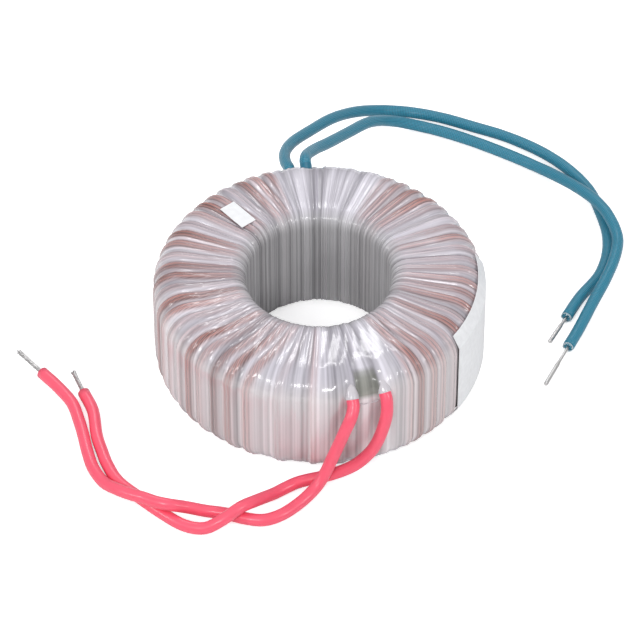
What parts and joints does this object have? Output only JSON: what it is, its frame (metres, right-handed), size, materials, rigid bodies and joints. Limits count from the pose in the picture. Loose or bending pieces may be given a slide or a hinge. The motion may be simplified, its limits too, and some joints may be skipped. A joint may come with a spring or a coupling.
{
  "type": "toroidal mains transformer",
  "caption": "Toroidal mains transformer under a pleated clear film wrap, with two stranded red leads, two blue sleeved wire ends and bare labels",
  "frame": {"origin": "centre of the footprint of the wound ring, on the surface it lies on", "axes": "+Z along the ring's axis, up; -Y is the side where the two red leads come out; +X to the right seen from there"},
  "size_m": [0.1963, 0.1948, 0.0402],
  "materials": {
    "core_steel": "bare strip edge",
    "insulation_film": "clear polyester film in many layers",
    "enamelled_copper": "enamelled copper wire",
    "wrap_film": "clear pleated polyester film over copper wire",
    "pad_tape": "folded grey tape",
    "solder": "soldered joint in clear sleeve",
    "lead_red": "smooth PVC insulation",
    "tinned_copper": "tinned strands",
    "sleeve_blue": "varnished woven sleeve",
    "label_white": "satin label"
  },
  "bodies": {
    "root": {"core_strip": "core_steel", "core_insulation": "insulation_film", "primary_winding": "enamelled_copper", "winding_insulation": "insulation_film", "secondary_winding": "enamelled_copper", "outer_wrap": "wrap_film", "lead_pad": "pad_tape", "splice_1": "solder", "splice_2": "solder", "primary_tail_1": "enamelled_copper", "primary_tail_2": "enamelled_copper", "red_lead_1": "lead_red", "red_lead_2": "lead_red", "red_tip_1": "tinned_copper", "red_tip_2": "tinned_copper", "sleeve_root_1": "sleeve_blue", "sleeve_root_2": "sleeve_blue", "blue_sleeve_1": "sleeve_blue", "blue_sleeve_2": "sleeve_blue", "blue_tip_1": "tinned_copper", "blue_tip_2": "tinned_copper", "rating_label": "label_white", "code_label": "label_white"}
  },
  "joints": []
}
